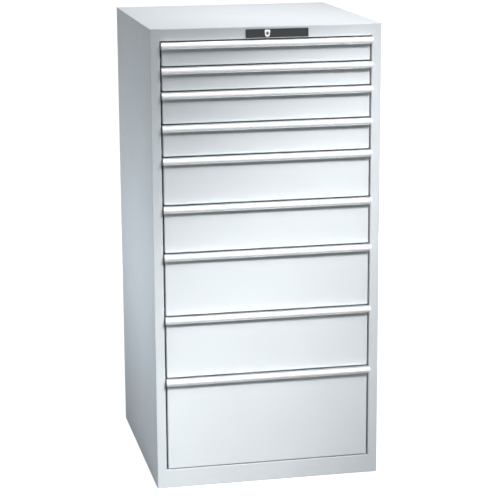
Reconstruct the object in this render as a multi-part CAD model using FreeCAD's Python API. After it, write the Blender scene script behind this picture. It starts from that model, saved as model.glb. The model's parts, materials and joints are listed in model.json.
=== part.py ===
import FreeCAD, Part
import math
import os

V = FreeCAD.Vector

# A free-standing sheet steel drawer cabinet. X runs across the front, Y to the back and Z up.
# The origin is the middle of the base, on the floor. Left and right are as seen from the front.

# Housing
WIDTH = 717.0
DEPTH = 725.0
PANEL_SHEET = 1.5
PANEL_BEND = 1.8
EDGE_BEND = 0.4
STILE_WIDTH = 30.0
STILE_RETURN = 22.5
FASCIA_HEIGHT = 37.0
PLINTH_HEIGHT = 60.0
BASE_SHEET = 2.0
REAR_LIP = 30.0
COVER_EDGE_RADIUS = 1.2
ANCHOR_SPACING_X = 560.0
ANCHOR_SPACING_Y = 540.0
ANCHOR_RADIUS = 6.0

# Front heights, from the top drawer down, in steps of the raster that the runners hook into
RASTER = 25.0
FRONT_STEPS = (3, 3, 4, 4, 6, 6, 8, 8, 12)
FRONT_GAP = 3.0

# Rivets that hold the rear panel in its frame
RIVETS_PER_SIDE = 7
RIVET_END = 70.0
RIVET_RADIUS = 2.4
RIVET_HEAD_RADIUS = 4.8
RIVET_HEAD = 1.2

# Uprights and the fixed cabinet rails
UPRIGHT_SHEET = 1.5
UPRIGHT_DEPTH = 23.7
UPRIGHT_WIDTH = 40.0
UPRIGHT_SETBACK = 15.0
UPRIGHT_END_GAP = 3.0
SLOT_WIDTH = 5.0
SLOT_HEIGHT = 14.0
HOOK_WIDTH = 4.0
HOOK_HEIGHT = 8.0
HOOK_REACH = 4.0
RAIL_SHEET = 1.5
RAIL_BEND = 0.5
RAIL_HEIGHT = 34.0
RAIL_CENTRE = 30.0
RAIL_FRONT_GAP = 2.0
RAIL_PAST_TRAY = 15.0
STOP_SHEET = 2.0
STOP_HEIGHT = 8.0
STOP_GAP = 0.5

# Carriers, which run between the cabinet rails and the drawer rails on rollers
CARRIER_SHEET = 2.5
CARRIER_HEIGHT = 36.0
CARRIER_SHORT_OF_TRAY = 8.0
CARRIER_FLANGE_GAP = 0.8
ROLLER_WIDTH = 8.0
ROLLER_GAP = 0.3
ROLLER_SIDE_GAP = 0.8
ROLLER_WEB_GAP = 1.5
ROLLER_END = 4.0
PIN_RADIUS = 4.0
PIN_FIT = 0.05
PIN_HEAD_RADIUS = 6.0
PIN_HEAD = 1.0
PIN_HEAD_FIT = 0.5
SHOULDER_RADIUS = 6.5

# Drawer tray
TRAY_SHEET = 1.2
TRAY_LIFT = 8.0
TRAY_TOP_GAP = 12.0
TRAY_REAR_SPACE = 92.6
TRAY_BEND = 2.0
RIM_WIDTH = 7.0
PARTITION_PITCH = 34.0
PARTITION_SLOT = 3.0
PARTITION_SLOT_TOP = 8.0
PARTITION_SLOT_FOOT = 10.0
PARTITION_SLOT_END = 30.0
BACKING_INSET = 0.5

# Drawer front and grip rail
FRONT_SHEET = 1.5
FRONT_DEPTH = 18.0
FRONT_SIDE_GAP = 5.5
FRONT_BEND = 1.5
FRONT_BELOW_GRIP = 3.0
GRIP_SIDE_GAP = 2.0
GRIP_TOP_FLAT = 12.0
GRIP_CROWN_RADIUS = 10.0
GRIP_LIP_RADIUS = 11.5
GRIP_LIP_TURN = 65.0
GRIP_WALL = 2.0
GRIP_FLANGE = 12.0
END_CAP_LENGTH = 16.0
LABEL_RECESS = 1.0
LABEL_SUNK = 0.1
LABEL_EDGE_GAP = 0.15
LABEL_TOP_TURN = 25.0
LABEL_FOOT_TURN = 25.0

# Lock in the fascia
PLATE_LEFT = -66.0
PLATE_RIGHT = 128.0
PLATE_HEIGHT = 26.0
PLATE_THICK = 3.0
PLATE_DROP = 8.0
PLATE_CORNER = 1.0
SHIELD_WIDTH = 17.0
SHIELD_HEIGHT = 21.0
SHIELD_THICK = 2.5
SHIELD_CORNER = 3.0
SHIELD_FOOT_WIDTH = 14.6
SHIELD_FOOT_RISE = 7.0
BARREL_RADIUS = 7.5
BARREL_LENGTH = 38.0
BARREL_HOLE_FIT = 0.2
NUT_ACROSS = 22.0
NUT_THICK = 5.0
PLUG_RADIUS = 5.5
PLUG_FIT = 0.05
PLUG_RECESS = 0.4
KEYWAY_WIDTH = 2.8
KEYWAY_HEIGHT = 8.4
KEYWAY_DEPTH = 14.0
KEY_EYE_RADIUS = 2.1
SHAFT_RADIUS = 4.0
SHAFT_FIT = 0.1

# Crank at the back of the shaft, and the locking bar that it lifts
LOCK_TURN = 90.0
CRANK_RADIUS = 9.0
CRANK_THICK = 4.0
CRANK_EDGE = 4.0
CRANK_PIN_RADIUS = 3.0
CRANK_PIN_FIT = 0.6
CRANK_PIN_PAST = 3.0
CRANK_GAP = 3.0
BAR_WIDTH = 36.0
BAR_THICK = 3.0
BAR_PAST_CATCH = 11.0
BAR_TOP_PAST_PIN = 10.0
BAR_FOOT = 30.0
FINGER_WIDTH = 12.0
FINGER_THICK = 3.0
FINGER_FROM_TRAY = 8.0
FINGER_GAP = 2.0
FINGER_SPARE = 11.0
CATCH_WIDTH = 24.0
CATCH_SHEET = 2.0
CATCH_PAST_FINGER = 9.0
CATCH_HEIGHT = 44.0
CATCH_ROOM = 1.3
GUIDE_SHEET = 1.5
GUIDE_HEIGHT = 18.0
GUIDE_GAP = 0.4
GUIDE_BELOW_FINGER = 1.0
GUIDE_FOOT = 12.0
GUIDED_DRAWERS = (0, 3, 6, 8)
HANGER_WIDTH = 30.0
HANGER_SHEET = 3.0
HANGER_BELOW_SHAFT = 7.0
HANGER_FROM_CRANK = 10.0

# Places that follow from the sizes above
HALF_WIDTH = WIDTH / 2
FRONT_Y = -DEPTH / 2
BACK_Y = DEPTH / 2
OPENING_HALF = HALF_WIDTH - STILE_WIDTH
OPENING_FOOT = PLINTH_HEIGHT
OPENING_TOP = PLINTH_HEIGHT + FRONT_GAP + RASTER * sum(FRONT_STEPS)
HEIGHT = OPENING_TOP + FASCIA_HEIGHT
PANEL_INSIDE = HALF_WIDTH - PANEL_SHEET
PANEL_TOP = HEIGHT - PANEL_SHEET
REAR_PANEL_Y = BACK_Y - PANEL_SHEET

UPRIGHT_FACE = PANEL_INSIDE - UPRIGHT_DEPTH
RAIL_INSIDE = UPRIGHT_FACE - RAIL_SHEET
OUTER_ROLLER = RAIL_INSIDE - ROLLER_SIDE_GAP
CARRIER_OUTSIDE = OUTER_ROLLER - ROLLER_WIDTH - ROLLER_WEB_GAP
CARRIER_INSIDE = CARRIER_OUTSIDE - CARRIER_SHEET
INNER_ROLLER = CARRIER_INSIDE - ROLLER_WEB_GAP - ROLLER_WIDTH
TRAY_OUTSIDE = INNER_ROLLER - ROLLER_SIDE_GAP - RAIL_SHEET
TRAY_INSIDE = TRAY_OUTSIDE - TRAY_SHEET

TRAY_FRONT_Y = FRONT_Y + FRONT_DEPTH
TRAY_REAR_Y = BACK_Y - TRAY_REAR_SPACE
EXTENSION = TRAY_REAR_Y - TRAY_FRONT_Y - 2 * TRAY_SHEET
RAIL_FRONT_Y = FRONT_Y + STILE_RETURN + RAIL_FRONT_GAP
RAIL_REAR_Y = TRAY_REAR_Y + RAIL_PAST_TRAY
CARRIER_REAR_Y = TRAY_REAR_Y - CARRIER_SHORT_OF_TRAY
ROLLER_RADIUS = RAIL_HEIGHT / 2 - RAIL_SHEET - ROLLER_GAP
UPRIGHT_FRONT_Y = FRONT_Y + STILE_RETURN + UPRIGHT_SETBACK
UPRIGHT_REAR_Y = RAIL_REAR_Y - UPRIGHT_WIDTH

# At full extension the front outer roller meets the stop of the cabinet rail,
# and the rear inner roller meets the stop of the drawer rail
OUTER_ROLLERS_Y = (
    RAIL_FRONT_Y + STOP_SHEET + STOP_GAP + ROLLER_RADIUS + EXTENSION / 2,
    CARRIER_REAR_Y - ROLLER_END - ROLLER_RADIUS,
)
INNER_ROLLERS_Y = (
    RAIL_FRONT_Y + ROLLER_END + ROLLER_RADIUS,
    TRAY_REAR_Y - STOP_SHEET - STOP_GAP - ROLLER_RADIUS - EXTENSION / 2,
)

FRONT_HALF = OPENING_HALF - FRONT_SIDE_GAP
GRIP_HALF = OPENING_HALF - GRIP_SIDE_GAP
GRIP_PROJECTION = GRIP_TOP_FLAT + GRIP_CROWN_RADIUS
GRIP_HEIGHT = GRIP_CROWN_RADIUS + GRIP_LIP_RADIUS * math.sin(math.radians(GRIP_LIP_TURN))

PLATE_TOP = HEIGHT - PLATE_DROP
LOCK_Z = PLATE_TOP - PLATE_HEIGHT / 2
PLATE_FACE_Y = FRONT_Y - PLATE_THICK
SHIELD_FACE_Y = PLATE_FACE_Y - SHIELD_THICK
BARREL_REAR_Y = PLATE_FACE_Y + BARREL_LENGTH
FINGER_Y = TRAY_REAR_Y + FINGER_FROM_TRAY
CATCH_REAR_Y = FINGER_Y + FINGER_THICK + CATCH_PAST_FINGER + CATCH_SHEET
BAR_Y = CATCH_REAR_Y + BAR_PAST_CATCH
CRANK_Y = BAR_Y - CRANK_GAP - CRANK_THICK

# A quarter turn swings the crank's pin, on the left, from as far below the shaft as it rises above
PIN_DROP = CRANK_RADIUS * math.sin(math.radians(LOCK_TURN / 2))
PIN_X = -CRANK_RADIUS * math.cos(math.radians(LOCK_TURN / 2))
PIN_Z = LOCK_Z - PIN_DROP
BAR_LIFT = 2 * PIN_DROP
CATCH_LIP = BAR_LIFT - FINGER_GAP + CATCH_ROOM
FINGER_HEIGHT = BAR_LIFT + FINGER_SPARE


def drawer_levels():
    """The lower gap line of each drawer, from the top drawer down, with its front's height."""
    top = OPENING_TOP - FRONT_GAP / 2
    levels = []
    for steps in FRONT_STEPS:
        height = steps * RASTER
        levels.append((top - height, height))
        top -= height
    return levels


def box(x, y, z):
    """A block between two limits on each axis."""
    return Part.makeBox(x[1] - x[0], y[1] - y[0], z[1] - z[0], V(x[0], y[0], z[0]))


def rod(start, end, radius):
    """A round bar from one point to another."""
    run = end - start
    return Part.makeCylinder(radius, run.Length, start, run)


def mirrored(shape):
    """The same shape on the cabinet's other side."""
    return shape.mirror(V(0, 0, 0), V(1, 0, 0))


def both_sides(shapes):
    """The right-hand shapes and their mirror images."""
    return shapes + [mirrored(shape) for shape in shapes]


def union(shapes):
    """One solid from touching shapes, without the seams between them."""
    return shapes[0].multiFuse(shapes[1:]).removeSplitter()


def round_path(points, radii):
    """Edges along points, with the corners between them rounded."""
    edges = []
    here = points[0]
    for before, corner, after, radius in zip(points, points[1:], points[2:], radii):
        back = (before - corner).normalize()
        ahead = (after - corner).normalize()
        half_turn = (math.pi - back.getAngle(ahead)) / 2
        reach = radius * math.tan(half_turn)
        depth = radius / math.cos(half_turn) - radius
        enter = corner + back * reach
        leave = corner + ahead * reach
        middle = corner + (back + ahead).normalize() * depth
        edges.append(Part.LineSegment(here, enter).toShape())
        edges.append(Part.Arc(enter, middle, leave).toShape())
        here = leave
    edges.append(Part.LineSegment(here, points[-1]).toShape())
    return edges


def folded_sheet(points, thickness, bends, along):
    """A sheet folded along points and as long as along.

    The sheet lies to the left of its path, seen with along coming towards the eye. Every fold
    turns left, and each value in bends is the inside radius of its fold.
    """
    up = V(along).normalize()
    inner = []
    for place, point in enumerate(points):
        runs = []
        if place > 0:
            runs.append((point - points[place - 1]).normalize())
        if place < len(points) - 1:
            runs.append((points[place + 1] - point).normalize())
        left = [up.cross(run) for run in runs]
        shift = left[0]
        if len(left) == 2:
            shift = (left[0] + left[1]) * (1 / (1 + left[0].dot(left[1])))
        inner.append(point + shift * thickness)
    edges = round_path(points, [bend + thickness for bend in bends])
    edges += round_path(inner, bends)
    edges.append(Part.LineSegment(points[0], inner[0]).toShape())
    edges.append(Part.LineSegment(points[-1], inner[-1]).toShape())
    wire = Part.Wire(Part.__sortEdges__(edges))
    return Part.Face(wire).extrude(along)


def channel(tips, web, z_middle, height, thickness, y):
    """A C-shaped rail along Y, with its web at one X and its flange tips at another."""
    low = z_middle - height / 2
    high = z_middle + height / 2
    points = [V(tips, y[1], low), V(web, y[1], low), V(web, y[1], high), V(tips, y[1], high)]
    if tips > web:
        points.reverse()
    return folded_sheet(points, thickness, [RAIL_BEND, RAIL_BEND], V(0, y[0] - y[1], 0))


def rivet_points():
    """Centres of the right-hand row of rivets, on the back of the housing."""
    step = (HEIGHT - 2 * RIVET_END) / (RIVETS_PER_SIDE - 1)
    x = HALF_WIDTH - REAR_LIP / 2
    return [V(x, BACK_Y, RIVET_END + step * i) for i in range(RIVETS_PER_SIDE)]


def rivet_holes():
    """The right-hand row of rivet holes, through the rear lip and the rear panel."""
    through = V(0, -2 * PANEL_SHEET, 0)
    return [rod(point, point + through, RIVET_RADIUS) for point in rivet_points()]


def side_panel():
    """The right-hand panel, folded at the front into the stile and at the back into a lip."""
    return_y = FRONT_Y + STILE_RETURN
    points = [
        V(OPENING_HALF, return_y, 0),
        V(OPENING_HALF, FRONT_Y, 0),
        V(HALF_WIDTH, FRONT_Y, 0),
        V(HALF_WIDTH, BACK_Y, 0),
        V(HALF_WIDTH - REAR_LIP, BACK_Y, 0),
    ]
    bends = [EDGE_BEND, PANEL_BEND, PANEL_BEND]
    sheet = folded_sheet(points, PANEL_SHEET, bends, V(0, 0, PANEL_TOP))
    welds = [weld((0, PLINTH_HEIGHT)), weld((OPENING_TOP, PANEL_TOP))]
    return union([sheet] + welds).cut(Part.makeCompound(rivet_holes()))


def weld(z):
    """A weld, ground flush, that fills the round corner of the stile beside the plinth or fascia."""
    corner = EDGE_BEND + PANEL_SHEET
    return box((OPENING_HALF, OPENING_HALF + corner), (FRONT_Y, FRONT_Y + corner), z)


def top_cover():
    """The top sheet, folded down into the fascia at the front and a lip at the back."""
    lip_foot = HEIGHT - REAR_LIP
    return_y = FRONT_Y + STILE_RETURN
    left = -OPENING_HALF
    points = [
        V(left, BACK_Y, lip_foot),
        V(left, BACK_Y, HEIGHT),
        V(left, FRONT_Y, HEIGHT),
        V(left, FRONT_Y, OPENING_TOP),
        V(left, return_y, OPENING_TOP),
    ]
    bends = [PANEL_BEND, PANEL_BEND, EDGE_BEND]
    middle = folded_sheet(points, PANEL_SHEET, bends, V(2 * OPENING_HALF, 0, 0))
    wings = []
    for side in (-1, 1):
        x = sorted((side * OPENING_HALF, side * HALF_WIDTH))
        wing = box(x, (FRONT_Y, BACK_Y), (PANEL_TOP, HEIGHT))
        wings.append(soften_top(wing, side))
    hole = BARREL_RADIUS + BARREL_HOLE_FIT
    barrel_hole = rod(V(0, FRONT_Y, LOCK_Z), V(0, FRONT_Y + PANEL_SHEET, LOCK_Z), hole)
    return union([middle] + wings).cut(barrel_hole)


def soften_top(wing, side):
    """Rounds the outer top edges of the cover's sheet."""
    edges = []
    for edge in wing.Edges:
        middle = edge.CenterOfMass
        at_top = abs(middle.z - HEIGHT) < 1e-6
        at_side = abs(middle.x - side * HALF_WIDTH) < 1e-6
        at_end = abs(abs(middle.y) - BACK_Y) < 1e-6
        if at_top and (at_side or at_end):
            edges.append(edge)
    return wing.makeFillet(COVER_EDGE_RADIUS, edges)


def base_pan():
    """The base sheet, folded up into the plinth at the front and a lip at the back."""
    left = -OPENING_HALF
    return_y = FRONT_Y + STILE_RETURN
    points = [
        V(left, return_y, PLINTH_HEIGHT),
        V(left, FRONT_Y, PLINTH_HEIGHT),
        V(left, FRONT_Y, 0),
        V(left, BACK_Y, 0),
        V(left, BACK_Y, REAR_LIP),
    ]
    bends = [EDGE_BEND, EDGE_BEND, PANEL_BEND]
    middle = folded_sheet(points, BASE_SHEET, bends, V(2 * OPENING_HALF, 0, 0))
    floor_y = (return_y, BACK_Y - BASE_SHEET - PANEL_BEND)
    floor = box((-PANEL_INSIDE, PANEL_INSIDE), floor_y, (0, BASE_SHEET))
    flange = box((PANEL_INSIDE - BASE_SHEET, PANEL_INSIDE), floor_y, (0, REAR_LIP))
    pan = union([middle, floor, flange, mirrored(flange)])
    holes = []
    for x in (-ANCHOR_SPACING_X / 2, ANCHOR_SPACING_X / 2):
        for y in (-ANCHOR_SPACING_Y / 2, ANCHOR_SPACING_Y / 2):
            holes.append(rod(V(x, y, 0), V(x, y, BASE_SHEET), ANCHOR_RADIUS))
    return pan.cut(Part.makeCompound(holes))


def rear_panel():
    """A flat sheet inside the rear lips, clear of their bends, riveted to the side panels."""
    half = PANEL_INSIDE - PANEL_BEND
    y = (REAR_PANEL_Y - PANEL_SHEET, REAR_PANEL_Y)
    sheet = box((-half, half), y, (REAR_LIP, PANEL_TOP - PANEL_BEND))
    return sheet.cut(Part.makeCompound(both_sides(rivet_holes())))


def rivets():
    """Round-headed rivets through the rear lips and the rear panel."""
    made = []
    for point in rivet_points():
        head = rod(point, point + V(0, RIVET_HEAD, 0), RIVET_HEAD_RADIUS)
        shank = rod(point, point + V(0, -2 * PANEL_SHEET, 0), RIVET_RADIUS)
        made.append(union([head, shank]))
    return both_sides(made)


def slot_levels():
    """Middles of the slots in an upright, one for each step of the raster."""
    first = OPENING_FOOT + FRONT_GAP / 2 + RAIL_CENTRE - RASTER / 2
    return [first + RASTER * i for i in range(sum(FRONT_STEPS))]


def upright(y):
    """A right-hand slotted upright, a channel on the base flange and against the side panel."""
    points = [
        V(PANEL_INSIDE, y + UPRIGHT_WIDTH, REAR_LIP),
        V(UPRIGHT_FACE, y + UPRIGHT_WIDTH, REAR_LIP),
        V(UPRIGHT_FACE, y, REAR_LIP),
        V(PANEL_INSIDE, y, REAR_LIP),
    ]
    rise = V(0, 0, PANEL_TOP - UPRIGHT_END_GAP - REAR_LIP)
    post = folded_sheet(points, UPRIGHT_SHEET, [RAIL_BEND, RAIL_BEND], rise)
    middle = y + UPRIGHT_WIDTH / 2
    slots = []
    for z in slot_levels():
        slots.append(
            box(
                (UPRIGHT_FACE, UPRIGHT_FACE + UPRIGHT_SHEET),
                (middle - SLOT_WIDTH / 2, middle + SLOT_WIDTH / 2),
                (z - SLOT_HEIGHT / 2, z + SLOT_HEIGHT / 2),
            )
        )
    return post.cut(Part.makeCompound(slots))


def uprights():
    """The four slotted uprights."""
    return both_sides([upright(UPRIGHT_FRONT_Y), upright(UPRIGHT_REAR_Y)])


def cabinet_rail(level):
    """A right-hand cabinet rail with its front stop, hooked into both uprights."""
    z = level + RAIL_CENTRE
    tips = CARRIER_OUTSIDE + CARRIER_FLANGE_GAP
    rail = channel(tips, UPRIGHT_FACE, z, RAIL_HEIGHT, RAIL_SHEET, (RAIL_FRONT_Y, RAIL_REAR_Y))
    floor = z - RAIL_HEIGHT / 2 + RAIL_SHEET
    stop = box(
        (tips, RAIL_INSIDE),
        (RAIL_FRONT_Y, RAIL_FRONT_Y + STOP_SHEET),
        (floor, floor + STOP_HEIGHT),
    )
    parts = [rail, stop]
    for y in (UPRIGHT_FRONT_Y, UPRIGHT_REAR_Y):
        middle = y + UPRIGHT_WIDTH / 2
        for hook_z in (z - RASTER / 2, z + RASTER / 2):
            hook = box(
                (UPRIGHT_FACE, UPRIGHT_FACE + HOOK_REACH),
                (middle - HOOK_WIDTH / 2, middle + HOOK_WIDTH / 2),
                (hook_z - HOOK_HEIGHT / 2, hook_z + HOOK_HEIGHT / 2),
            )
            parts.append(hook)
    return union(parts)


def cabinet_rails():
    """The fixed rails of all drawers, on both sides."""
    return both_sides([cabinet_rail(level) for level, _ in drawer_levels()])


def roller_parts(web, side, y, z):
    """A roller beside a carrier's web and the pin that it turns on; side is 1 for outwards."""
    near = web + side * ROLLER_WEB_GAP
    far = near + side * ROLLER_WIDTH
    recess = far - side * (PIN_HEAD + 2 * ROLLER_GAP)
    roller = rod(V(near, y, z), V(far, y, z), ROLLER_RADIUS)
    bore = rod(V(near, y, z), V(far, y, z), PIN_RADIUS + PIN_FIT)
    counterbore = rod(V(recess, y, z), V(far, y, z), PIN_HEAD_RADIUS + PIN_HEAD_FIT)
    head_inside = recess + side * ROLLER_GAP
    shoulder = rod(V(web, y, z), V(near - side * ROLLER_GAP, y, z), SHOULDER_RADIUS)
    pin = rod(V(web, y, z), V(head_inside, y, z), PIN_RADIUS)
    head = rod(V(head_inside, y, z), V(head_inside + side * PIN_HEAD, y, z), PIN_HEAD_RADIUS)
    return roller.cut(bore).cut(counterbore), [shoulder, pin, head]


def slides(level):
    """The pair of carriers of one drawer, each with four rollers."""
    z = level + RAIL_CENTRE
    web = box(
        (CARRIER_INSIDE, CARRIER_OUTSIDE),
        (RAIL_FRONT_Y, CARRIER_REAR_Y),
        (z - CARRIER_HEIGHT / 2, z + CARRIER_HEIGHT / 2),
    )
    places = [(CARRIER_OUTSIDE, 1, y) for y in OUTER_ROLLERS_Y]
    places += [(CARRIER_INSIDE, -1, y) for y in INNER_ROLLERS_Y]
    rollers = []
    pins = []
    for face, side, y in places:
        roller, pin = roller_parts(face, side, y, z)
        rollers.append(roller)
        pins += pin
    return both_sides([union([web] + pins)] + rollers)


def slot_rows(half_length):
    """Middles of a row of partition slots, centred on a wall of the given half length."""
    count = int((half_length - PARTITION_SLOT_END) / PARTITION_PITCH)
    return [PARTITION_PITCH * i for i in range(-count, count + 1)]


def slot_span(middle):
    """The width of one partition slot about its middle."""
    return (middle - PARTITION_SLOT / 2, middle + PARTITION_SLOT / 2)


def trough(foot, top):
    """The tray's floor and side walls, folded from one sheet, with slots and outward rims."""
    y = (TRAY_FRONT_Y + TRAY_SHEET, TRAY_REAR_Y - TRAY_SHEET)
    points = [
        V(-TRAY_OUTSIDE, y[1], top),
        V(-TRAY_OUTSIDE, y[1], foot),
        V(TRAY_OUTSIDE, y[1], foot),
        V(TRAY_OUTSIDE, y[1], top),
    ]
    sheet = folded_sheet(points, TRAY_SHEET, [TRAY_BEND, TRAY_BEND], V(0, y[0] - y[1], 0))
    rim = box((TRAY_OUTSIDE, TRAY_OUTSIDE + RIM_WIDTH), y, (top - TRAY_SHEET, top))
    slot_z = (foot + PARTITION_SLOT_FOOT, top - PARTITION_SLOT_TOP)
    middle_y = (TRAY_FRONT_Y + TRAY_REAR_Y) / 2
    slots = []
    for place in slot_rows((TRAY_REAR_Y - TRAY_FRONT_Y) / 2):
        slots.append(box((TRAY_INSIDE, TRAY_OUTSIDE), slot_span(middle_y + place), slot_z))
    return union([sheet, rim, mirrored(rim)]).cut(Part.makeCompound(both_sides(slots)))


def tray_rear_wall(foot, top):
    """The flat rear wall, which closes the trough and has slots too."""
    y = (TRAY_REAR_Y - TRAY_SHEET, TRAY_REAR_Y)
    wall = box((-TRAY_OUTSIDE, TRAY_OUTSIDE), y, (foot, top))
    lower = []
    for edge in wall.Edges:
        if edge.BoundBox.YLength > TRAY_SHEET / 2 and edge.BoundBox.ZMax < foot + TRAY_BEND:
            lower.append(edge)
    wall = wall.makeFillet(TRAY_BEND + TRAY_SHEET, lower)
    slot_z = (foot + PARTITION_SLOT_FOOT, top - PARTITION_SLOT_TOP)
    slots = [box(slot_span(place), y, slot_z) for place in slot_rows(TRAY_INSIDE)]
    return wall.cut(Part.makeCompound(slots))


def front_span(level, height):
    """The foot and the top of a drawer's front, whose top lies a step below its grip rail's."""
    half_gap = FRONT_GAP / 2
    return level + half_gap, level + height - half_gap - FRONT_BELOW_GRIP


def front_backing(level, height):
    """The plate that closes the trough at the front and backs the drawer's front."""
    half = FRONT_HALF - BACKING_INSET
    y = (TRAY_FRONT_Y, TRAY_FRONT_Y + TRAY_SHEET)
    foot, top = front_span(level, height)
    return box((-half, half), y, (foot + BACKING_INSET, top - BACKING_INSET))


def drawer_rail(level):
    """The right-hand rail on the tray's side, open outwards, with its rear stop."""
    z = level + RAIL_CENTRE
    tips = CARRIER_INSIDE - CARRIER_FLANGE_GAP
    span = (TRAY_FRONT_Y + TRAY_SHEET, TRAY_REAR_Y)
    rail = channel(tips, TRAY_OUTSIDE, z, RAIL_HEIGHT, RAIL_SHEET, span)
    ceiling = z + RAIL_HEIGHT / 2 - RAIL_SHEET
    stop = box(
        (TRAY_OUTSIDE + RAIL_SHEET, tips),
        (TRAY_REAR_Y - STOP_SHEET, TRAY_REAR_Y),
        (ceiling - STOP_HEIGHT, ceiling),
    )
    return union([rail, stop])


def tray(level, height):
    """The welded tray with its two drawer rails and the catch that the locking bar holds."""
    foot = level + TRAY_LIFT
    top = level + height - TRAY_TOP_GAP
    high = level + CATCH_HEIGHT
    x = (-CATCH_WIDTH / 2, CATCH_WIDTH / 2)
    arm = box(x, (TRAY_REAR_Y, CATCH_REAR_Y), (high, high + CATCH_SHEET))
    lip = box(x, (CATCH_REAR_Y - CATCH_SHEET, CATCH_REAR_Y), (high - CATCH_LIP, high))
    sheets = [trough(foot, top), tray_rear_wall(foot, top), front_backing(level, height)]
    return sheets + both_sides([drawer_rail(level)]) + [arm, lip]


def softened(block, radius):
    """A block with all its edges round, apart from those of its back."""
    nearest = block.BoundBox.YMin
    edges = [edge for edge in block.Edges if edge.BoundBox.YMin < nearest + radius]
    return block.makeFillet(radius, edges)


def front(level, height):
    """The drawer's front, a shallow folded pan that is open at the back."""
    z = front_span(level, height)
    pan = box((-FRONT_HALF, FRONT_HALF), (FRONT_Y, TRAY_FRONT_Y), z)
    inside = box(
        (FRONT_SHEET - FRONT_HALF, FRONT_HALF - FRONT_SHEET),
        (FRONT_Y + FRONT_SHEET, TRAY_FRONT_Y),
        (z[0] + FRONT_SHEET, z[1] - FRONT_SHEET),
    )
    return softened(pan, FRONT_BEND + FRONT_SHEET).cut(softened(inside, FRONT_BEND))


def grip_point(x, top, forward, down):
    """A point on the grip rail's section, measured from the front's face and the rail's top."""
    return V(x, FRONT_Y - forward, top - down)


def crown_arc(x, top, start, end, inset):
    """An arc on the rail's crown, between two turns from straight up, inset from its surface."""
    radius = GRIP_CROWN_RADIUS - inset
    places = []
    for turn in (start, (start + end) / 2, end):
        angle = math.radians(turn)
        forward = GRIP_TOP_FLAT + radius * math.sin(angle)
        down = GRIP_CROWN_RADIUS - radius * math.cos(angle)
        places.append(grip_point(x, top, forward, down))
    return places


def lip_arc(x, top, start, end, inset):
    """An arc on the rail's lip, between two turns below straight ahead, inset from its surface."""
    radius = GRIP_LIP_RADIUS - inset
    places = []
    for turn in (start, (start + end) / 2, end):
        angle = math.radians(turn)
        forward = GRIP_PROJECTION - GRIP_LIP_RADIUS + radius * math.cos(angle)
        down = GRIP_CROWN_RADIUS + radius * math.sin(angle)
        places.append(grip_point(x, top, forward, down))
    return places


def extruded(arcs, corners, length):
    """A section along X whose outline runs through arcs and then corners, in order."""
    edges = [Part.Arc(*arc).toShape() for arc in arcs]
    stops = [(arc[0], arc[2]) for arc in arcs] + [(corner, corner) for corner in corners]
    for (_, end), (start, _) in zip(stops, stops[1:] + stops[:1]):
        if end.distanceToPoint(start) > 1e-6:
            edges.append(Part.LineSegment(end, start).toShape())
    wire = Part.Wire(Part.__sortEdges__(edges))
    return Part.Face(wire).extrude(V(length, 0, 0))


def grip(level, height):
    """The grip rail, an open section that is gripped from below, recessed for its label."""
    x = END_CAP_LENGTH - GRIP_HALF
    top = level + height - FRONT_GAP / 2
    arcs = [
        crown_arc(x, top, 0, LABEL_TOP_TURN, 0),
        crown_arc(x, top, LABEL_TOP_TURN, 90, LABEL_RECESS),
        lip_arc(x, top, 0, LABEL_FOOT_TURN, LABEL_RECESS),
        lip_arc(x, top, LABEL_FOOT_TURN, GRIP_LIP_TURN, 0),
        lip_arc(x, top, GRIP_LIP_TURN, 0, GRIP_WALL),
        crown_arc(x, top, 90, 0, GRIP_WALL),
    ]
    corners = [
        grip_point(x, top, GRIP_WALL, GRIP_WALL),
        grip_point(x, top, GRIP_WALL, GRIP_FLANGE),
        grip_point(x, top, 0, GRIP_FLANGE),
        grip_point(x, top, 0, 0),
    ]
    return extruded(arcs, corners, -2 * x)


def grip_trim(level, height):
    """The label strip in the grip rail's recess, and the end caps that close the rail."""
    x = END_CAP_LENGTH - GRIP_HALF
    top = level + height - FRONT_GAP / 2
    first = LABEL_TOP_TURN + math.degrees(LABEL_EDGE_GAP / GRIP_CROWN_RADIUS)
    last = LABEL_FOOT_TURN - math.degrees(LABEL_EDGE_GAP / GRIP_LIP_RADIUS)
    arcs = [
        crown_arc(x, top, first, 90, LABEL_SUNK),
        lip_arc(x, top, 0, last, LABEL_SUNK),
        lip_arc(x, top, last, 0, LABEL_RECESS),
        crown_arc(x, top, 90, first, LABEL_RECESS),
    ]
    strip = extruded(arcs, [], -2 * x)
    cap_arcs = [
        crown_arc(-x, top, 0, 90, 0),
        lip_arc(-x, top, 0, GRIP_LIP_TURN, 0),
    ]
    corners = [grip_point(-x, top, 0, GRIP_HEIGHT), grip_point(-x, top, 0, 0)]
    cap = extruded(cap_arcs, corners, END_CAP_LENGTH)
    return [strip] + both_sides([cap])


def lock_plate():
    """The flat plate on the fascia that carries the lock."""
    z = (PLATE_TOP - PLATE_HEIGHT, PLATE_TOP)
    plate = box((PLATE_LEFT, PLATE_RIGHT), (PLATE_FACE_Y, FRONT_Y), z)
    corners = [edge for edge in plate.Edges if edge.BoundBox.YLength > PLATE_THICK / 2]
    plate = plate.makeFillet(PLATE_CORNER, corners)
    hole = BARREL_RADIUS + BARREL_HOLE_FIT
    return plate.cut(rod(V(0, PLATE_FACE_Y, LOCK_Z), V(0, FRONT_Y, LOCK_Z), hole))


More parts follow.
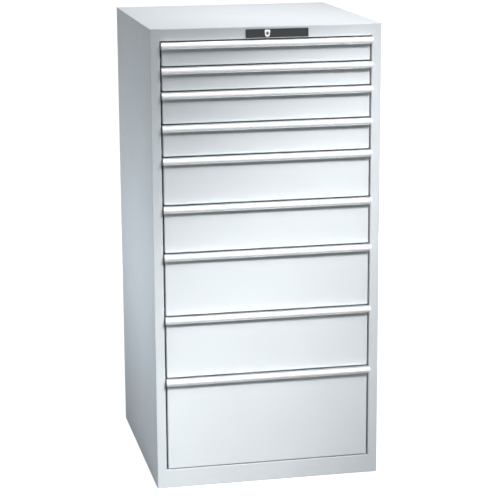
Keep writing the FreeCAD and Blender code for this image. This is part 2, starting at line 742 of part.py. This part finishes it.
def lock_escutcheon():
    """A shield round the lock, wide at the top and round at the foot."""
    half = SHIELD_WIDTH / 2
    high = LOCK_Z + SHIELD_HEIGHT / 2
    low = LOCK_Z - SHIELD_HEIGHT / 2
    y = PLATE_FACE_Y
    left = V(-SHIELD_FOOT_WIDTH / 2, y, low + SHIELD_FOOT_RISE)
    right = V(SHIELD_FOOT_WIDTH / 2, y, low + SHIELD_FOOT_RISE)
    foot = Part.Arc(right, V(0, y, low), left).toShape()
    outline = round_path(
        [left, V(-half, y, high), V(half, y, high), right],
        [SHIELD_CORNER, SHIELD_CORNER],
    )
    wire = Part.Wire(Part.__sortEdges__(outline + [foot]))
    shield = Part.Face(wire).extrude(V(0, -SHIELD_THICK, 0))
    hole = PLUG_RADIUS + BARREL_HOLE_FIT
    return shield.cut(rod(V(0, SHIELD_FACE_Y, LOCK_Z), V(0, y, LOCK_Z), hole))


def lock_housing():
    """The barrel through the plate and the fascia, and the nut behind the fascia."""
    start = V(0, PLATE_FACE_Y, LOCK_Z)
    end = V(0, BARREL_REAR_Y, LOCK_Z)
    barrel = rod(start, end, BARREL_RADIUS).cut(rod(start, end, PLUG_RADIUS + PLUG_FIT))
    nut_start = V(0, FRONT_Y + PANEL_SHEET, LOCK_Z)
    flat = NUT_ACROSS / 2
    point = flat / math.cos(math.radians(30))
    corners = []
    for i in range(7):
        angle = math.radians(60 * i)
        corners.append(nut_start + V(point * math.cos(angle), 0, point * math.sin(angle)))
    nut = Part.Face(Part.makePolygon(corners)).extrude(V(0, NUT_THICK, 0))
    return [barrel, nut.cut(rod(nut_start, nut_start + V(0, NUT_THICK, 0), BARREL_RADIUS))]


def lock_cylinder():
    """The plug that the key turns."""
    face = SHIELD_FACE_Y + PLUG_RECESS
    plug = rod(V(0, face, LOCK_Z), V(0, BARREL_REAR_Y, LOCK_Z), PLUG_RADIUS)
    slot = box(
        (-KEYWAY_WIDTH / 2, KEYWAY_WIDTH / 2),
        (face, face + KEYWAY_DEPTH),
        (LOCK_Z - KEYWAY_HEIGHT / 2, LOCK_Z + KEYWAY_HEIGHT / 2),
    )
    eye_z = LOCK_Z + KEYWAY_HEIGHT / 2 - KEY_EYE_RADIUS
    eye = rod(V(0, face, eye_z), V(0, face + KEYWAY_DEPTH, eye_z), KEY_EYE_RADIUS)
    return plug.cut(union([slot, eye]))


def lock_shaft():
    """The shaft from the plug to the back, with the crank and its pin."""
    rear = V(0, CRANK_Y + CRANK_THICK, LOCK_Z)
    shaft = rod(V(0, BARREL_REAR_Y, LOCK_Z), rear, SHAFT_RADIUS)
    pin_front = V(PIN_X, CRANK_Y, PIN_Z)
    pin = rod(pin_front, V(PIN_X, BAR_Y + BAR_THICK + CRANK_PIN_PAST, PIN_Z), CRANK_PIN_RADIUS)
    rim = SHAFT_RADIUS + CRANK_EDGE
    hub = rod(V(0, CRANK_Y, LOCK_Z), rear, rim)
    pad = rod(pin_front, V(PIN_X, CRANK_Y + CRANK_THICK, PIN_Z), CRANK_PIN_RADIUS + CRANK_EDGE)
    return union([shaft, hub, pad, pin])


def finger_tip(level):
    """Height of the top of a finger at rest, just under the lip of its drawer's catch."""
    return level + CATCH_HEIGHT - CATCH_LIP - FINGER_GAP


def finger(level):
    """One L-shaped finger of the locking bar, which rises in front of a drawer's catch."""
    tip = finger_tip(level)
    foot = tip - FINGER_HEIGHT
    x = (-FINGER_WIDTH / 2, FINGER_WIDTH / 2)
    upper = box(x, (FINGER_Y, FINGER_Y + FINGER_THICK), (foot, tip))
    lower = box(x, (FINGER_Y, BAR_Y), (foot - FINGER_THICK, foot))
    return union([upper, lower])


def locking_bar():
    """The upright bar behind the drawers, with the crank's slot and a finger for each drawer."""
    half = BAR_WIDTH / 2
    bar = box((-half, half), (BAR_Y, BAR_Y + BAR_THICK), (BAR_FOOT, PIN_Z + BAR_TOP_PAST_PIN))
    reach = CRANK_PIN_RADIUS + CRANK_PIN_FIT
    slot = box(
        (-CRANK_RADIUS - reach, PIN_X + reach),
        (BAR_Y, BAR_Y + BAR_THICK),
        (PIN_Z - reach, PIN_Z + reach),
    )
    return [bar.cut(slot)] + [finger(level) for level, _ in drawer_levels()]


def bar_guide(level):
    """A bracket on the rear panel that the locking bar slides in, just under a finger."""
    top = finger_tip(level) - FINGER_HEIGHT - FINGER_THICK - GUIDE_BELOW_FINGER
    z_span = (top - GUIDE_HEIGHT, top)
    inner = BAR_WIDTH / 2 + GUIDE_GAP
    outer = inner + GUIDE_SHEET
    front_y = BAR_Y - GUIDE_GAP
    back_y = BAR_Y + BAR_THICK + GUIDE_GAP
    panel_y = REAR_PANEL_Y - PANEL_SHEET
    cheek = box((inner, outer), (front_y - GUIDE_SHEET, panel_y), z_span)
    foot = box((inner, outer + GUIDE_FOOT), (panel_y - GUIDE_SHEET, panel_y), z_span)
    strap = box((-outer, outer), (front_y - GUIDE_SHEET, front_y), z_span)
    backing = box((-outer, outer), (back_y, back_y + GUIDE_SHEET), z_span)
    return union([cheek, mirrored(cheek), foot, mirrored(foot), strap, backing])


def shaft_hanger(y):
    """A bracket under the top cover that the lock shaft turns in."""
    half = HANGER_WIDTH / 2
    plate = box((-half, half), (y, y + HANGER_SHEET), (LOCK_Z - HANGER_BELOW_SHAFT, PANEL_TOP))
    hole = rod(V(0, y, LOCK_Z), V(0, y + HANGER_SHEET, LOCK_Z), SHAFT_RADIUS + SHAFT_FIT)
    return plate.cut(hole)


def bar_guides():
    """All brackets of the locking bar and the lock shaft."""
    levels = drawer_levels()
    made = [bar_guide(levels[place][0]) for place in GUIDED_DRAWERS]
    rear_y = CRANK_Y - HANGER_FROM_CRANK - HANGER_SHEET
    made.append(shaft_hanger(rear_y))
    made.append(shaft_hanger((BARREL_REAR_Y + rear_y) / 2))
    return made


def write(name, shapes):
    """Writes one sub-part, a solid or several, to its own file."""
    for shape in shapes:
        if not shape.isValid() or len(shape.Solids) != 1:
            raise ValueError(name + " holds a shape that is not one sound solid")
    whole = shapes[0] if len(shapes) == 1 else Part.makeCompound(shapes)
    whole.exportStep(os.path.join("parts", name + ".step"))


def main():
    os.makedirs("parts", exist_ok=True)
    right_panel = side_panel()
    write("right_side_panel", [right_panel])
    write("left_side_panel", [mirrored(right_panel)])
    write("top_cover", [top_cover()])
    write("base_pan", [base_pan()])
    write("rear_panel", [rear_panel()])
    write("rear_panel_rivets", rivets())
    write("slotted_uprights", uprights())
    write("cabinet_rails", cabinet_rails())
    write("lock_plate", [lock_plate()])
    write("lock_escutcheon", [lock_escutcheon()])
    write("lock_housing", lock_housing())
    write("lock_cylinder", [lock_cylinder()])
    write("lock_shaft", [lock_shaft()])
    write("locking_bar", locking_bar())
    write("locking_bar_guides", bar_guides())
    for number, (level, height) in enumerate(drawer_levels(), 1):
        name = "drawer_" + str(number)
        write(name + "_tray", tray(level, height))
        write(name + "_front", [front(level, height)])
        write(name + "_grip", [grip(level, height)])
        write(name + "_grip_trim", grip_trim(level, height))
        write(name + "_slides", slides(level))


main()
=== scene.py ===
import json
import math

import bpy
from mathutils import Euler, Matrix, Vector


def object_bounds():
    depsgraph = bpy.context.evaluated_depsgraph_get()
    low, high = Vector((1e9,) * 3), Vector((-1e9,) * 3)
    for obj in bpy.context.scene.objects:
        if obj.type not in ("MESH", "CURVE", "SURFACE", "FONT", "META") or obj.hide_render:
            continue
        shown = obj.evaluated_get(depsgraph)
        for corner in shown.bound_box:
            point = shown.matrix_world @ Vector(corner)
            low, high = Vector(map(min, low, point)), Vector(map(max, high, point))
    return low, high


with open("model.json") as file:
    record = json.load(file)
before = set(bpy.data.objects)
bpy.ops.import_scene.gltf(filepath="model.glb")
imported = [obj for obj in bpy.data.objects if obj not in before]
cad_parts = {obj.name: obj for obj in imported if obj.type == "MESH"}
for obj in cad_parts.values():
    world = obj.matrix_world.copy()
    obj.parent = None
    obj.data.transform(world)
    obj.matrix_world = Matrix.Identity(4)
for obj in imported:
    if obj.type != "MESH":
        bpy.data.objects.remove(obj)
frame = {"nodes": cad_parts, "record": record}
cad_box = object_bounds()

# Camera, fitted to the outer corners of the housing in the photograph
CAMERA_PLACE = Vector((-1.1529, -5.5655, 2.0045))
CAMERA_YAW = math.radians(-11.9)
CAMERA_PITCH = math.radians(-13.18)
CAMERA_ROLL = math.radians(-0.32)
CAMERA_LENS = 126.88
SENSOR_WIDTH = 36.0
CAMERA_REACH = 100.0

# Colours, as sRGB values from 0 to 255
PAINT = (222, 227, 230)
# Housing paint: the front paint made a little darker, as painted shade on the housing; the real
# housing has the same paint as the fronts
HOUSING_SHADED_PAINT = (215, 220, 223)
TRAY_PAINT = (208, 213, 216)
ANODISED = (240, 242, 243)
GRIP_WHITE = (248, 249, 250)
ZINC = (190, 193, 197)
RIVET_ZINC = (186, 189, 192)
PLATE_DARK = (38, 40, 41)
CHROME = (244, 245, 246)
NICKEL = (165, 166, 168)
LOCK_ZINC = (170, 173, 177)
FLOOR = (255, 255, 255)

# Lights, whose colours are linear: soft suns give the plain level and soft boxes shape it
AMBIENT = (0.085, 0.1, 0.112)
LAMP_COLOR = (1.0, 1.0, 1.0)
SIDE_COLOR = (0.9, 0.98, 1.05)
KEY_PLACE = Vector((0.36, -0.78, 0.76))
KEY_STRENGTH = 1.15
KEY_SOFTNESS = math.radians(25.0)
FRONT_PLACE = Vector((-0.2, -1.0, 1.4))
FRONT_STRENGTH = 0.45
FRONT_SOFTNESS = math.radians(50.0)
REAR_AIM = Vector((0.1, cad_box[1].y, 0.7))
REAR_FROM = Vector((1.1, 3.2, 0.75))
REAR_SIZE = (1.8, 1.0)
REAR_POWER = 30.0
BAND_AIM = Vector((0.0, cad_box[0].y, 0.73))
BAND_FROM = Vector((1.2, -3.6, 3.7))
BAND_SIZE = (1.7, 0.15)
BAND_SPREAD = math.radians(17.0)
BAND_TURN = math.radians(38.0)
BAND_POWER = 2.9
LOW_AIM = Vector((0.12, cad_box[0].y, 0.3))
LOW_FROM = Vector((0.85, -3.5, 3.2))
LOW_SIZE = (1.6, 0.6)
LOW_SPREAD = math.radians(26.0)
LOW_POWER = 1.4
SIDE_BOX_GAP = 0.75
SIDE_BOX_HEIGHT = 0.65
SIDE_BOX_SIZE = (1.1, 0.15)
SIDE_BOX_POWER = 3.8
TOP_BOX_GAP = 0.8
TOP_BOX_SIZE = (0.1, 1.0)
TOP_BOX_POWER = 5.0

# Floor, in metres: its reflections turn pale between the near and the far distance. The bounce is
# the grey that lights the part, and shown and glow make up what the camera sees
FLOOR_SIZE = 60.0
FLOOR_DROP = 0.0002
NEAR_FLOOR = 0.7
FAR_FLOOR = 2.4
FLOOR_BOUNCE = 0.42
FLOOR_SHOWN = 0.5
FLOOR_GLOW = 0.86

# Finishes
NOISE_MIDDLE = (0.3, 0.7)
PAINT_SPECULAR = 0.36
STRIP_METALLIC = 0.35
STRIP_GRAIN = 0.00001
COVER_ROUGHNESS = 0.12

# Sockets of a node that mixes two colours
MIX_FIRST = 6
MIX_SECOND = 7
MIX_RESULT = 2


def linear(color):
    """A linear RGBA colour from an sRGB one of 0 to 255."""
    values = []
    for channel in color:
        share = channel / 255
        values.append(share / 12.92 if share <= 0.04045 else ((share + 0.055) / 1.055) ** 2.4)
    return (*values, 1.0)


def scaled(color, factor):
    """An sRGB colour made lighter or darker."""
    return tuple(min(255.0, channel * factor) for channel in color)


class Finish:
    """One procedural material, built up around a Principled shader."""

    def __init__(self, name, roughness, metallic=0.0):
        self.material = bpy.data.materials.new(name)
        self.material.use_nodes = True
        self.tree = self.material.node_tree
        self.shader = self.tree.nodes["Principled BSDF"]
        self.shader.inputs["Roughness"].default_value = roughness
        self.shader.inputs["Metallic"].default_value = metallic
        self.place = self.tree.nodes.new("ShaderNodeTexCoord").outputs["Object"]
        self.relief = None

    def link(self, start, end):
        self.tree.links.new(start, end)

    def noise(self, scale, detail, stretch=(1.0, 1.0, 1.0)):
        """A noise of so many features per metre, stretched along the axes."""
        mapping = self.tree.nodes.new("ShaderNodeMapping")
        mapping.inputs["Scale"].default_value = stretch
        self.link(self.place, mapping.inputs["Vector"])
        texture = self.tree.nodes.new("ShaderNodeTexNoise")
        texture.inputs["Scale"].default_value = scale
        texture.inputs["Detail"].default_value = detail
        self.link(mapping.outputs["Vector"], texture.inputs["Vector"])
        return texture.outputs["Fac"]

    def cells(self, scale):
        """Random grey cells, such as the spangle of zinc."""
        texture = self.tree.nodes.new("ShaderNodeTexVoronoi")
        texture.inputs["Scale"].default_value = scale
        self.link(self.place, texture.inputs["Vector"])
        return texture.outputs["Color"]

    def spread(self, factor, low, high):
        """The middle of a noise, stretched to run from low to high."""
        node = self.tree.nodes.new("ShaderNodeMapRange")
        node.inputs["From Min"].default_value, node.inputs["From Max"].default_value = NOISE_MIDDLE
        node.inputs["To Min"].default_value = low
        node.inputs["To Max"].default_value = high
        self.link(factor, node.inputs["Value"])
        return node.outputs["Result"]

    def color(self, color, factor, dark, light):
        """A colour that varies between a darker and a lighter shade of itself."""
        node = self.tree.nodes.new("ShaderNodeMix")
        node.data_type = "RGBA"
        node.inputs[MIX_FIRST].default_value = linear(scaled(color, dark))
        node.inputs[MIX_SECOND].default_value = linear(scaled(color, light))
        self.link(factor, node.inputs["Factor"])
        self.link(node.outputs[MIX_RESULT], self.shader.inputs["Base Color"])

    def rough(self, factor, low, high):
        """A roughness that varies from low to high."""
        self.link(self.spread(factor, low, high), self.shader.inputs["Roughness"])

    def bump(self, height, depth):
        """Relief of so many metres, on top of any that is there already."""
        node = self.tree.nodes.new("ShaderNodeBump")
        node.inputs["Strength"].default_value = 1.0
        node.inputs["Distance"].default_value = depth
        self.link(height, node.inputs["Height"])
        if self.relief is not None:
            self.link(self.relief, node.inputs["Normal"])
        self.relief = node.outputs["Normal"]
        self.link(self.relief, self.shader.inputs["Normal"])


def powder_coat(name, color, roughness):
    """Satin powder coat with fine orange peel and a slight drift in shade."""
    finish = Finish(name, roughness)
    finish.shader.inputs["Specular IOR Level"].default_value = PAINT_SPECULAR
    finish.color(color, finish.spread(finish.noise(2.6, 3.0), 0.0, 1.0), 0.985, 1.012)
    finish.rough(finish.noise(35.0, 3.0), roughness - 0.04, roughness + 0.05)
    finish.bump(finish.noise(420.0, 2.0), 0.00006)
    finish.bump(finish.noise(1500.0, 2.0), 0.000015)
    return finish.material


def anodised(name, color, roughness):
    """Satin anodised aluminium with the faint lines of its extrusion along X."""
    finish = Finish(name, roughness, 1.0)
    lines = finish.noise(1.0, 3.0, (0.6, 2600.0, 2600.0))
    finish.color(color, finish.spread(lines, 0.0, 1.0), 0.97, 1.01)
    finish.rough(lines, roughness - 0.05, roughness + 0.07)
    finish.bump(lines, 0.000008)
    return finish.material


def moulded(name, color, roughness, grain):
    """Moulded plastic with a fine grain."""
    finish = Finish(name, roughness)
    finish.color(color, finish.spread(finish.noise(60.0, 3.0), 0.0, 1.0), 0.985, 1.01)
    finish.rough(finish.noise(220.0, 2.0), roughness - 0.04, roughness + 0.05)
    finish.bump(finish.noise(1800.0, 2.0), grain)
    return finish.material


def covered_strip(name, color, roughness):
    """A white strip with a silvery sheen, under a clear and glossy cover."""
    finish = Finish(name, roughness, STRIP_METALLIC)
    finish.color(color, finish.spread(finish.noise(60.0, 3.0), 0.0, 1.0), 0.985, 1.01)
    finish.rough(finish.noise(220.0, 2.0), roughness - 0.04, roughness + 0.05)
    finish.bump(finish.noise(1800.0, 2.0), STRIP_GRAIN)
    finish.shader.inputs["Coat Weight"].default_value = 1.0
    finish.shader.inputs["Coat Roughness"].default_value = COVER_ROUGHNESS
    return finish.material


def zinc(name, color, roughness, stretch=(1.0, 1.0, 1.0)):
    """Zinc-plated steel: soft spangle, and rolling lines along the piece."""
    finish = Finish(name, roughness, 1.0)
    spangle = finish.cells(130.0)
    finish.color(color, finish.spread(spangle, 0.0, 1.0), 0.94, 1.04)
    finish.rough(finish.noise(90.0, 3.0, stretch), roughness - 0.08, roughness + 0.1)
    finish.bump(finish.noise(700.0, 3.0, stretch), 0.00002)
    return finish.material


def polished(name, color, roughness):
    """Plated metal with a slightly uneven gloss."""
    finish = Finish(name, roughness, 1.0)
    finish.color(color, finish.spread(finish.noise(160.0, 3.0), 0.0, 1.0), 0.96, 1.02)
    finish.rough(finish.noise(500.0, 3.0), roughness - 0.04, roughness + 0.06)
    finish.bump(finish.noise(900.0, 2.0), 0.000006)
    return finish.material


ALONG_Y = (1.0, 0.06, 1.0)
FINISHES = {
    # the housing takes the darker copy of the front paint: painted shade
    "housing_paint": powder_coat("housing_paint", HOUSING_SHADED_PAINT, 0.56),
    "front_paint": powder_coat("front_paint", PAINT, 0.5),
    "tray_paint": powder_coat("tray_paint", TRAY_PAINT, 0.52),
    "upright_steel": powder_coat("upright_paint", TRAY_PAINT, 0.52),
    "grip_aluminium": anodised("grip_aluminium", ANODISED, 0.34),
    "grip_plastic": covered_strip("grip_plastic", GRIP_WHITE, 0.35),
    "runner_steel": zinc("runner_zinc", ZINC, 0.36, ALONG_Y),
    "rivet_steel": zinc("rivet_zinc", RIVET_ZINC, 0.38),
    "plate_black": moulded("plate_dark", PLATE_DARK, 0.4, 0.00003),
    "escutcheon_chrome": polished("escutcheon_chrome", CHROME, 0.4),
    "lock_metal": polished("lock_nickel", NICKEL, 0.34),
    "lock_steel": zinc("lock_zinc", LOCK_ZINC, 0.4),
}


def dress_cad_nodes():
    """Gives every CAD node the finish of its slot in the record."""
    for part in frame["record"]["subparts"]:
        node = frame["nodes"][part["node"]]
        finish = FINISHES[part["material_slot"]]
        for place in node.material_slots:
            place.material = finish


def plane(name, size, z):
    """A square sheet on the floor."""
    half = size / 2
    mesh = bpy.data.meshes.new(name)
    corners = [(-half, -half, z), (half, -half, z), (half, half, z), (-half, half, z)]
    mesh.from_pydata(corners, [], [(0, 1, 2, 3)])
    sheet = bpy.data.objects.new(name, mesh)
    bpy.context.scene.collection.objects.link(sheet)
    return sheet


def seen_directly(tree):
    """1 on rays that show the background as it is: from the camera, a mirror or glass."""
    path = tree.nodes.new("ShaderNodeLightPath")
    total = path.outputs["Is Camera Ray"]
    for name in ("Is Glossy Ray", "Is Transmission Ray"):
        larger = tree.nodes.new("ShaderNodeMath")
        larger.operation = "MAXIMUM"
        tree.links.new(total, larger.inputs[0])
        tree.links.new(path.outputs[name], larger.inputs[1])
        total = larger.outputs[0]
    return total


def floor_material():
    """Pale floor: near white to the camera and, away from the part, in reflections."""
    material = bpy.data.materials.new("floor")
    material.use_nodes = True
    tree = material.node_tree
    tree.nodes.clear()
    output = tree.nodes.new("ShaderNodeOutputMaterial")
    bounce = tree.nodes.new("ShaderNodeBsdfDiffuse")
    bounce.inputs["Color"].default_value = (FLOOR_BOUNCE,) * 3 + (1.0,)
    shown = tree.nodes.new("ShaderNodeBsdfDiffuse")
    shown.inputs["Color"].default_value = (FLOOR_SHOWN,) * 3 + (1.0,)
    glow = tree.nodes.new("ShaderNodeEmission")
    glow.inputs["Color"].default_value = linear(FLOOR)
    glow.inputs["Strength"].default_value = FLOOR_GLOW
    both = tree.nodes.new("ShaderNodeAddShader")
    tree.links.new(shown.outputs[0], both.inputs[0])
    tree.links.new(glow.outputs[0], both.inputs[1])
    path = tree.nodes.new("ShaderNodeLightPath")
    distance = tree.nodes.new("ShaderNodeVectorMath")
    distance.operation = "LENGTH"
    place = tree.nodes.new("ShaderNodeTexCoord").outputs["Object"]
    tree.links.new(place, distance.inputs[0])
    far = tree.nodes.new("ShaderNodeMapRange")
    far.inputs["From Min"].default_value = NEAR_FLOOR
    far.inputs["From Max"].default_value = FAR_FLOOR
    tree.links.new(distance.outputs["Value"], far.inputs["Value"])
    pale = tree.nodes.new("ShaderNodeMath")
    pale.operation = "MULTIPLY_ADD"
    pale.use_clamp = True
    tree.links.new(path.outputs["Is Glossy Ray"], pale.inputs[0])
    tree.links.new(far.outputs["Result"], pale.inputs[1])
    tree.links.new(path.outputs["Is Camera Ray"], pale.inputs[2])
    choice = tree.nodes.new("ShaderNodeMixShader")
    tree.links.new(pale.outputs[0], choice.inputs["Fac"])
    tree.links.new(bounce.outputs[0], choice.inputs[1])
    tree.links.new(both.outputs[0], choice.inputs[2])
    tree.links.new(choice.outputs[0], output.inputs["Surface"])
    return material


def make_floor():
    floor = plane("floor", FLOOR_SIZE, cad_box[0].z - FLOOR_DROP)
    floor.data.materials.append(floor_material())


def make_world():
    """A white surround that lights the object evenly, and no more than the ambient level."""
    world = bpy.data.worlds.new("surround")
    bpy.context.scene.world = world
    world.use_nodes = True
    tree = world.node_tree
    shade = tree.nodes.new("ShaderNodeMix")
    shade.data_type = "RGBA"
    shade.inputs[MIX_FIRST].default_value = (*AMBIENT, 1.0)
    shade.inputs[MIX_SECOND].default_value = (1.0, 1.0, 1.0, 1.0)
    tree.links.new(seen_directly(tree), shade.inputs["Factor"])
    tree.links.new(shade.outputs[MIX_RESULT], tree.nodes["Background"].inputs["Color"])


def place_lamp(name, lamp, place, aim, turn=0.0):
    """Puts a lamp at a place, facing its aim and turned about its own line of sight."""
    source = bpy.data.objects.new(name, lamp)
    facing = (place - aim).to_track_quat("Z", "Y").to_matrix() @ Matrix.Rotation(turn, 3, "Z")
    source.matrix_world = Matrix.Translation(place) @ facing.to_4x4()
    source.visible_camera = False
    bpy.context.scene.collection.objects.link(source)


def soft_sun(name, place, strength, softness):
    """A distant soft lamp that shines from the direction of place."""
    lamp = bpy.data.lights.new(name, "SUN")
    lamp.color = LAMP_COLOR
    lamp.energy = strength
    lamp.angle = softness
    place_lamp(name, lamp, place, Vector())


def soft_box(name, place, aim, size, power, spread=math.pi, turn=0.0, color=LAMP_COLOR):
    """A rectangular studio lamp; a spread under a half circle is a grid on its face."""
    lamp = bpy.data.lights.new(name, "AREA")
    lamp.color = color
    lamp.shape = "RECTANGLE"
    lamp.size, lamp.size_y = size
    lamp.energy = power
    lamp.spread = spread
    place_lamp(name, lamp, place, aim, turn)


def make_lights():
    """The plain level, two bright bands on the fronts, and soft boxes behind, beside and above."""
    soft_sun("key", KEY_PLACE, KEY_STRENGTH, KEY_SOFTNESS)
    soft_sun("front", FRONT_PLACE, FRONT_STRENGTH, FRONT_SOFTNESS)
    soft_box("rear", REAR_FROM, REAR_AIM, REAR_SIZE, REAR_POWER)
    soft_box("band", BAND_FROM, BAND_AIM, BAND_SIZE, BAND_POWER, BAND_SPREAD, BAND_TURN)
    soft_box("low", LOW_FROM, LOW_AIM, LOW_SIZE, LOW_POWER, LOW_SPREAD)
    side_aim = Vector((cad_box[0].x, 0.0, SIDE_BOX_HEIGHT))
    side_place = side_aim - Vector((SIDE_BOX_GAP, 0.0, 0.0))
    soft_box("side_box", side_place, side_aim, SIDE_BOX_SIZE, SIDE_BOX_POWER, color=SIDE_COLOR)
    top_aim = Vector((0.0, 0.0, cad_box[1].z))
    top_place = top_aim + Vector((0.0, 0.0, TOP_BOX_GAP))
    soft_box("top_box", top_place, top_aim, TOP_BOX_SIZE, TOP_BOX_POWER)


def make_camera():
    data = bpy.data.cameras.new("camera")
    data.lens = CAMERA_LENS
    data.sensor_width = SENSOR_WIDTH
    data.sensor_fit = "HORIZONTAL"
    data.clip_end = CAMERA_REACH
    camera = bpy.data.objects.new("camera", data)
    aim = Euler((math.pi / 2 + CAMERA_PITCH, 0.0, CAMERA_YAW)).to_matrix()
    camera.matrix_world = Matrix.Translation(CAMERA_PLACE) @ (
        aim @ Matrix.Rotation(CAMERA_ROLL, 3, "Z")
    ).to_4x4()
    bpy.context.scene.collection.objects.link(camera)
    bpy.context.scene.camera = camera


make_camera()
make_world()
make_lights()
make_floor()
dress_cad_nodes()

bpy.context.scene.view_settings.view_transform = "Standard"
